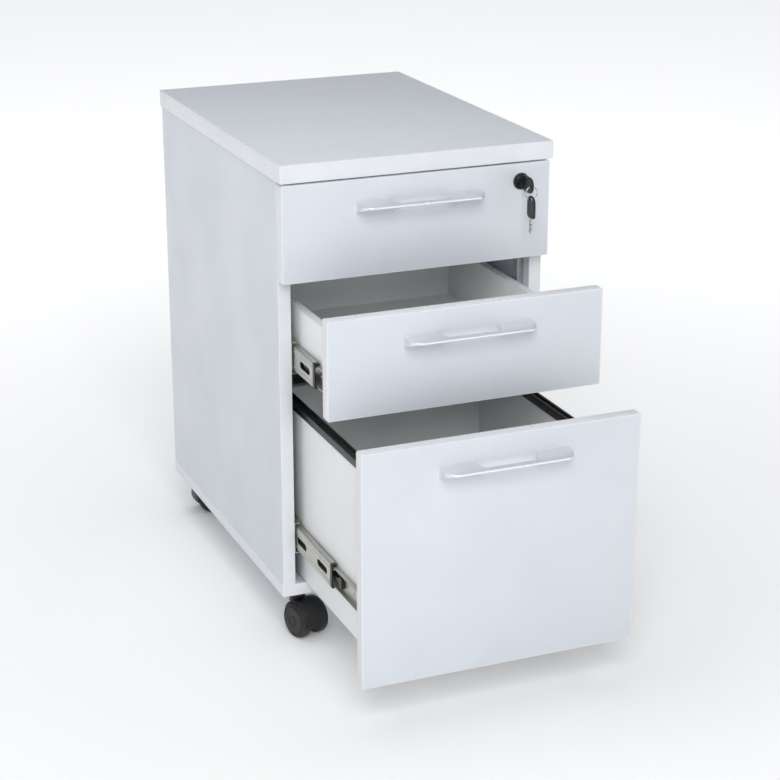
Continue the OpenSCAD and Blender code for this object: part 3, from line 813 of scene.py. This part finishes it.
def end_stop(name, side, z, front, body):
    """A black cushion clipped over the middle member's front end: a wall with two lobes."""
    bm = bmesh.new()
    outline = rounded([(2.9, -17.2), (10.8, -17.2), (10.8, -14.9), (5.6, -14.9), (4.6, -9), (4.6, 9),
                       (5.6, 14.9), (10.8, 14.9), (10.8, 17.2), (2.9, 17.2)],
                      [1.6, 0.8, 0.6, 1.5, 1.5, 1.5, 1.5, 0.6, 0.8, 1.6], 4)
    prism(bm, [(p.x * MM, p.y * MM) for p in outline],
          lambda u, v: (side * (PANEL_X - u), front, z + v), (0, STOP_LEN - 0.15 * MM, 0))
    soften_creases(bm, 0.4, 2, 60)
    finish_piece(bm, name, body, bow_black, (), 40)


def release_lever(name, side, z, start, body):
    """The long black lever that lets the drawer off its slides: an S-shaped tongue and a thumb pad."""
    bm = bmesh.new()
    outline = rounded([(0, -8), (8, -8), (13, -3.2), (25, -3.2), (34, -7),
                       (34, -1.5), (26, 3.0), (14, 3.0), (9, 8), (0, 8)],
                      [2.5, 2.5, 3, 3, 1.5, 1.5, 3, 3, 2.5, 2.5], 4)
    prism(bm, [(p.x * MM, side * p.y * MM) for p in outline],
          lambda u, v: (side * (PANEL_X - LEVER_OUT), start + u, z + v), (-side * LEVER_T, 0, 0))
    soften_creases(bm, 0.6, 2, 60)
    finish_piece(bm, name, body, bow_black, (), 40)


for n in (1, 2, 3):
    rail_low, rail_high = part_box(f"drawer_{n}_rails")
    mid_low, mid_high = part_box(f"middle_rails_{n}")
    z = (rail_low.z + rail_high.z) / 2
    for side, hand in ((-1, "left"), (1, "right")):
        stem = f"slide_{n}_{hand}"
        end_stop(f"{stem}_front_stop", side, z, mid_low.y, f"slides_{n}")
        ball_cage(f"{stem}_ball_cage", side, z, mid_low.y + CAGE_PLACE, f"slides_{n}")
        release_lever(f"{stem}_release_lever", side, z, rail_low.y + LEVER_PLACE, f"drawer_{n}")
        for up, row in ((-1, "low"), (1, "high")):
            bead(f"{stem}_middle_bead_{row}", side, MIDDLE_WEB, -1, z + up * BEAD_RISE,
                 mid_low.y + STOP_LEN + BEAD_MARGIN, mid_high.y - BEAD_MARGIN, f"slides_{n}")
print("slide members:", 3 * 2 * 3)

# %% [markdown]
# ## Rails for hanging files
# A black extrusion caps each side of the filing drawer, with a groove on top for the files' hooks.
# Its section is one closed outline, pushed along the drawer.

# %% File rails
CAP_WALL = 1.2
CAP_LIP = 6.0


def file_rail(name, side, low, high, stands_for=()):
    """A grooved cap over one side of the filing drawer. Its outline is in mm."""
    wide = BOX_T / MM + 2 * CAP_WALL
    top = (high.z - low.z) / MM
    groove = CAP_LIP + 2
    outline = rounded([
        (0, 0), (CAP_WALL, 0), (CAP_WALL, CAP_LIP), (wide - CAP_WALL, CAP_LIP), (wide - CAP_WALL, 0),
        (wide, 0), (wide, top), (wide - 3.2, top), (wide - 3.9, groove), (5.0, groove), (4.3, top),
        (0, top)],
        [0.4, 0.4, 0.3, 0.3, 0.4, 0.4, 1.2, 0.7, 0.8, 0.8, 0.7, 1.2], 3)
    edge = side * high.x
    bm = bmesh.new()
    prism(bm, [(p.x * MM, p.y * MM) for p in outline],
          lambda u, v: (edge - side * u, low.y, low.z + v), (0, high.y - low.y, 0))
    return finish_piece(bm, name, "drawer_3", rail_black, stands_for)


cap_low, cap_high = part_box("file_rails")
left_high = Vector((abs(cap_low.x), cap_high.y, cap_high.z))
left_rail = file_rail("file_rail_left", -1, cap_low, left_high, ["file_rails"])
right_rail = file_rail("file_rail_right", 1, cap_low, cap_high)
# the inner lip stops short of the drawer's back wall
for side, rail in ((-1, left_rail), (1, right_rail)):
    room = bmesh.new()
    wall_x = side * (cap_high.x - (CAP_WALL + 0.2) * MM - BOX_T)
    near, far = sorted((wall_x + side * 1.2 * MM, wall_x - side * 4 * MM))
    block(room, (near, cap_high.y - BOX_T - 0.6 * MM, cap_low.z - 1 * MM),
          (far, cap_high.y + 1 * MM, cap_low.z + 5.99 * MM))
    cut(rail, room)
print("file rails:", round((cap_high.y - cap_low.y) / MM), "mm long")

# %% [markdown]
# ## Lock
# A furniture lock: a black rosette pressed round the cylinder, and a black plug with its keyway.
# Round work is lathe work, so both are profiles spun round the lock's axis.

# %% Rosette, housing, plug and cam
housing_low, housing_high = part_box("lock_housing")
plug_low, plug_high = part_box("lock_plug")
lock_x = (housing_low.x + housing_high.x) / 2
lock_z = (housing_low.z + housing_high.z) / 2
front_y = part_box("drawer_1_front")[0].y
lock_axis = Vector((0, 1, 0))
rosette_r = (housing_high.x - housing_low.x) / 2
plug_r = (plug_high.x - plug_low.x) / 2
lock_face = Vector((lock_x, housing_low.y, lock_z))

bm = bmesh.new()
depth = front_y - housing_low.y
housing_len = housing_high.y - lock_face.y
turned(bm, [(0.4 * MM, plug_r + 0.06 * MM), (0, plug_r + 0.5 * MM), (0, plug_r + 1.2 * MM),
            (0.5 * MM, plug_r + 1.9 * MM), (0.45 * MM, rosette_r - 2.4 * MM),
            (0.25 * MM, rosette_r - 1.6 * MM), (0.6 * MM, rosette_r - 0.6 * MM), (1.4 * MM, rosette_r),
            (depth, rosette_r), (depth, plug_r + 2.9 * MM), (housing_len, plug_r + 2.9 * MM),
            (housing_len, plug_r + 0.06 * MM), (0.4 * MM, plug_r + 0.06 * MM)],
       lock_face, lock_axis, 72)
finish_piece(bm, "lock_rosette", "drawer_1", bow_black, ["lock_housing"], 28)

bm = bmesh.new()
plug_face = Vector((lock_x, plug_low.y, lock_z))
plug_len = plug_high.y - plug_low.y
turned(bm, [(0.5 * MM, 0), (0.5 * MM, 2.4 * MM), (0, 3.0 * MM), (0, plug_r - 0.7 * MM),
            (0.7 * MM, plug_r), (plug_len, plug_r), (plug_len, 0)], plug_face, lock_axis, 64)
plug = finish_piece(bm, "lock_plug_turned", "lock_plug", bow_black, ["lock_plug"], 28)
slit = bmesh.new()
block(slit, (-1.15 * MM, -1 * MM, -3.7 * MM), (1.15 * MM, 25 * MM, 3.7 * MM))
bmesh.ops.translate(slit, vec=plug_face, verts=slit.verts)
cut(plug, slit)
paint("lock_cam", screw_steel)
print("rosette", round(2 * rosette_r / MM, 1), "mm across")

# %% [markdown]
# ## Keys and split ring
# A key is a nickel blade, milled with a groove and filed with notches, moulded into a black bow.
# It is drawn flat at the origin, then turned into place in its mesh, once for each key.
# The ring is spring wire wound almost two turns, which a spin with a small step along its axis makes.

# %% Keys
BOW_W = 22 * MM
BOW_LEN = 31 * MM
BOW_T = 2.4 * MM
BLADE_W = 7 * MM
BLADE_T = 2 * MM
SLOT_FROM_END = 4.6 * MM
BOW_SLOT = (8.6 * MM, 4 * MM)
KEY_BLADE_LEN = 26 * MM
SPARE_BLADE_LEN = 22 * MM
# depths of the notches along the blade, in mm
CUTS = [2.2, 3.0, 1.9, 2.7, 2.1]


def key_parts(stem, body, place, blade_len, stands_for):
    """A key: blade along +Z from the origin, bow down to -BOW_LEN, width along X. place puts it."""
    half = BOW_W / 2
    bow = bmesh.new()
    outline = rounded([(-half, -BOW_LEN), (half, -BOW_LEN), (half, -3 * MM), (half - 4 * MM, 0),
                       (-half + 4 * MM, 0), (-half, -3 * MM)],
                      [10.6 * MM, 10.6 * MM, 2.2 * MM, 1.5 * MM, 1.5 * MM, 2.2 * MM], 14)
    prism(bow, [tuple(p) for p in outline], lambda u, v: (u, -BOW_T / 2, v), (0, BOW_T, 0))
    bmesh.ops.recalc_face_normals(bow, faces=bow.faces)
    soften_creases(bow, 0.55, 3, 60)
    bmesh.ops.transform(bow, matrix=place, verts=bow.verts)
    bow_piece = finish_piece(bow, f"{stem}_bow", body, bow_black, stands_for, 40)
    slot_tool = bmesh.new()
    w, h = BOW_SLOT
    hole = rounded([(-w / 2, -h / 2), (w / 2, -h / 2), (w / 2, h / 2), (-w / 2, h / 2)], h / 2 * 0.97, 6)
    prism(slot_tool, [(p.x, p.y - BOW_LEN + SLOT_FROM_END) for p in hole],
          lambda u, v: (u, -BOW_T, v), (0, 2 * BOW_T, 0))
    for face_side in (-1, 1):
        panel = rounded([(-half + 3.2 * MM, -20 * MM), (half - 3.2 * MM, -20 * MM),
                         (half - 4 * MM, -5.5 * MM), (-half + 4 * MM, -5.5 * MM)], 2.2 * MM, 5)
        prism(slot_tool, [tuple(p) for p in panel],
              lambda u, v: (u, face_side * (BOW_T / 2 - 0.25 * MM), v), (0, face_side * BOW_T, 0))
    bmesh.ops.transform(slot_tool, matrix=place, verts=slot_tool.verts)
    cut(bow_piece, slot_tool)

    blade = bmesh.new()
    edge = [(-BLADE_W / 2, -1.5 * MM), (BLADE_W / 2, -1.5 * MM), (BLADE_W / 2, blade_len - 3 * MM),
            (0.4 * MM, blade_len)]
    shoulder = blade_len - 5 * MM
    for depth_mm in CUTS:
        left = -BLADE_W / 2 + depth_mm * MM * 0.9
        edge += [(left, shoulder), (left, shoulder - 1.0 * MM)]
        shoulder -= 3.0 * MM
    edge += [(-BLADE_W / 2, shoulder)]
    prism(blade, edge, lambda u, v: (u, -BLADE_T / 2, v), (0, BLADE_T, 0))
    bmesh.ops.recalc_face_normals(blade, faces=blade.faces)
    soften_creases(blade, 0.15, 2, 50)
    bmesh.ops.transform(blade, matrix=place, verts=blade.verts)
    blade_piece = finish_piece(blade, f"{stem}_blade", body, nickel, (), 30)
    groove = bmesh.new()
    for face_side, x in ((-1, 0.9 * MM), (1, -0.4 * MM)):
        block(groove, (x - 0.5 * MM, min(face_side * 0.5 * MM, face_side * 2 * MM), -1 * MM),
              (x + 0.5 * MM, max(face_side * 0.5 * MM, face_side * 2 * MM), blade_len + 1 * MM))
    bmesh.ops.transform(groove, matrix=place, verts=groove.verts)
    cut(blade_piece, groove)


bow_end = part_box("key")[0].y
lie_down = Matrix.Rotation(math.pi / 2, 4, "Y") @ Matrix.Rotation(-math.pi / 2, 4, "X")
in_lock = Matrix.Translation((lock_x, bow_end + BOW_LEN, lock_z)) @ lie_down
key_parts("key", "lock_plug", in_lock, KEY_BLADE_LEN, ["key"])

spare_low, spare_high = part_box("spare_key")
spare_x = (spare_low.x + spare_high.x) / 2
spare_y = (spare_low.y + spare_high.y) / 2
hang = Matrix.Translation((spare_x, spare_y, spare_high.z - BOW_LEN))
hang = hang @ Matrix.Rotation(math.pi / 2, 4, "Z") @ Matrix.Rotation(math.pi, 4, "X")
key_parts("spare_key", "spare_key", hang, SPARE_BLADE_LEN, ["spare_key"])

# %% Split ring
ring_low, ring_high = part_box("key_ring")
ring_centre = (ring_low + ring_high) / 2
WIRE_R = 0.42 * MM
TURNS = 1.94
STEPS = 110
ring_r = (ring_high.x - ring_low.x) / 2 - WIRE_R
bm = bmesh.new()
wire = bmesh.ops.create_circle(bm, cap_ends=True, segments=12, radius=WIRE_R)["verts"]
bmesh.ops.translate(bm, vec=ring_centre + Vector((ring_r, -WIRE_R, 0)), verts=wire)
bmesh.ops.spin(bm, geom=bm.verts[:] + bm.edges[:] + bm.faces[:], cent=ring_centre, axis=(0, 1, 0),
               dvec=(0, 2.05 * WIRE_R / (STEPS / TURNS), 0), angle=math.tau * TURNS, steps=STEPS,
               use_duplicate=False)
finish_piece(bm, "split_ring", "key_ring", nickel, ["key_ring"], 50)
print("split ring", round(2 * (ring_r + WIRE_R) / MM, 1), "mm across")

# %% [markdown]
# ## Casters
# A twin-wheel caster: a black nylon hood with a wheel either side of its web, on a steel pin. The
# hood's drum is a rounded profile spun part of a turn, open below. Each wheel is one lathe profile
# with a crowned tread, a step for the rim and a dished face with a hub cap.

# %% Casters
WHEEL_R = 26 * MM
HOOD_GAP = 1.5 * MM
HOOD_WALL = 2.0 * MM
WEB_W = 11 * MM
PIN_R = 4.05 * MM
PIN_DEPTH = 10 * MM
BOSS_R = 10 * MM
WHEEL_GAP = 0.6 * MM
WHEEL_W = 17 * MM
AXLE_R = 3.1 * MM
HOOD_HALF = 18.1 * MM
HOOD_CROWN = 1.4 * MM
HOOD_FROM = math.radians(-11)
HOOD_TO = math.radians(191)
pivots = {j["name"]: Vector(j["pos_m"]) for j in frame["record"]["behaviour"]["joints"] if "pos_m" in j}


def caster(key):
    """One caster: the hood, its web and boss on the swivelling body, and two wheels on theirs."""
    wheel_low, wheel_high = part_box(f"caster_wheels_{key}")
    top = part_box(f"caster_housing_{key}")[1].z
    hub = (wheel_low + wheel_high) / 2
    swivel = pivots[f"caster_{key}_swivel"]
    trail_way = (Vector((hub.x, hub.y, 0)) - Vector((swivel.x, swivel.y, 0))).normalized()
    across = Vector((-trail_way.y, trail_way.x, 0))
    turn = Matrix((across, trail_way, (0, 0, 1))).transposed().to_4x4()
    put = Matrix.Translation(hub) @ turn

    # hood: drawn round the X axis, leading side towards -Y
    half = HOOD_HALF
    outer = WHEEL_R + HOOD_GAP + HOOD_WALL
    brow = outer - HOOD_CROWN
    profile = rounded([(-half, brow - HOOD_WALL), (-half, brow), (-half * 0.4, outer),
                       (half * 0.4, outer), (half, brow), (half, brow - HOOD_WALL),
                       (half * 0.4, outer - HOOD_WALL), (-half * 0.4, outer - HOOD_WALL)],
                      [0.8 * MM, 0.8 * MM, 6 * MM, 6 * MM, 0.8 * MM, 0.8 * MM, 5 * MM, 5 * MM], 4)
    bm = bmesh.new()
    ring = [bm.verts.new((p.x, -p.y * math.cos(HOOD_FROM), p.y * math.sin(HOOD_FROM))) for p in profile]
    face = bm.faces.new(ring)
    bmesh.ops.spin(bm, geom=[face] + ring + face.edges[:], cent=(0, 0, 0), axis=(-1, 0, 0),
                   angle=HOOD_TO - HOOD_FROM, steps=44, use_duplicate=False)
    bmesh.ops.recalc_face_normals(bm, faces=bm.faces)
    bmesh.ops.transform(bm, matrix=put, verts=bm.verts)
    finish_piece(bm, f"caster_{key}_hood", f"caster_{key}", hood_black,
                 [f"caster_housing_{key}"], 40)

    # web between the wheels, and the boss for the pin
    bm = bmesh.new()
    reach = outer - HOOD_WALL - 0.1 * MM
    arc = [HOOD_FROM + (HOOD_TO - HOOD_FROM) * k / 30 for k in range(31)]
    rim = [(-reach * math.cos(a), reach * math.sin(a)) for a in arc]
    foot = [(9 * MM, -9 * MM), (-9 * MM, -9 * MM)]
    prism(bm, rim + foot, lambda u, v: (-WEB_W / 2, u, v), (WEB_W, 0, 0))
    bmesh.ops.recalc_face_normals(bm, faces=bm.faces)
    soften_creases(bm, 0.5, 2, 50)
    bmesh.ops.transform(bm, matrix=put, verts=bm.verts)
    finish_piece(bm, f"caster_{key}_web", f"caster_{key}", hood_black, (), 40)
    bm = bmesh.new()
    base = Vector((swivel.x, swivel.y, 0))
    turned(bm, [(0.046, 0), (0.046, 12 * MM), (0.051, 11.6 * MM), (0.055, 10.6 * MM), (0.057, BOSS_R),
                (top - 0.8 * MM, BOSS_R), (top, 9.2 * MM), (top, PIN_R), (top - PIN_DEPTH, PIN_R),
                (top - PIN_DEPTH, 0)], base, (0, 0, 1), 48)
    finish_piece(bm, f"caster_{key}_boss", f"caster_{key}", hood_black, (), 35)

    # wheels: the profile runs from the axle's blind bore over the tread to the hub cap
    inner = WEB_W / 2 + WHEEL_GAP
    face_x = inner + WHEEL_W
    r = WHEEL_R
    wheel_profile = [
        (face_x - 3 * MM, 0), (face_x - 3 * MM, AXLE_R), (inner, AXLE_R), (inner, r - 5 * MM),
        (inner + 0.8 * MM, r - 2.4 * MM), (inner + 2.6 * MM, r - 0.6 * MM), (inner + 5.0 * MM, r),
        (face_x - 5.5 * MM, r), (face_x - 2.8 * MM, r - 0.9 * MM), (face_x - 1.0 * MM, r - 3.0 * MM),
        (face_x - 0.5 * MM, r - 4.2 * MM), (face_x - 1.6 * MM, r - 4.6 * MM),
        (face_x - 1.6 * MM, r - 5.6 * MM), (face_x - 0.4 * MM, r - 6.2 * MM), (face_x, r - 9 * MM),
        (face_x - 0.3 * MM, 10 * MM), (face_x - 1.0 * MM, 7.2 * MM), (face_x - 1.6 * MM, 6.6 * MM),
        (face_x - 0.9 * MM, 6.2 * MM), (face_x - 0.2 * MM, 3.5 * MM), (face_x, 0)]
    for side, letter in ((-1, "a"), (1, "b")):
        bm = bmesh.new()
        turned(bm, [(side * a, q) for a, q in wheel_profile], (0, 0, 0), (1, 0, 0), 72)
        bmesh.ops.transform(bm, matrix=put, verts=bm.verts)
        finish_piece(bm, f"caster_{key}_wheel_{letter}", f"wheels_{key}", wheel_black,
                     [f"caster_wheels_{key}"] if side < 0 else (), 24)
    paint(f"caster_axle_{key}", screw_steel)


for key in ("fl", "fr", "bl", "br"):
    caster(key)
print("casters: 4")
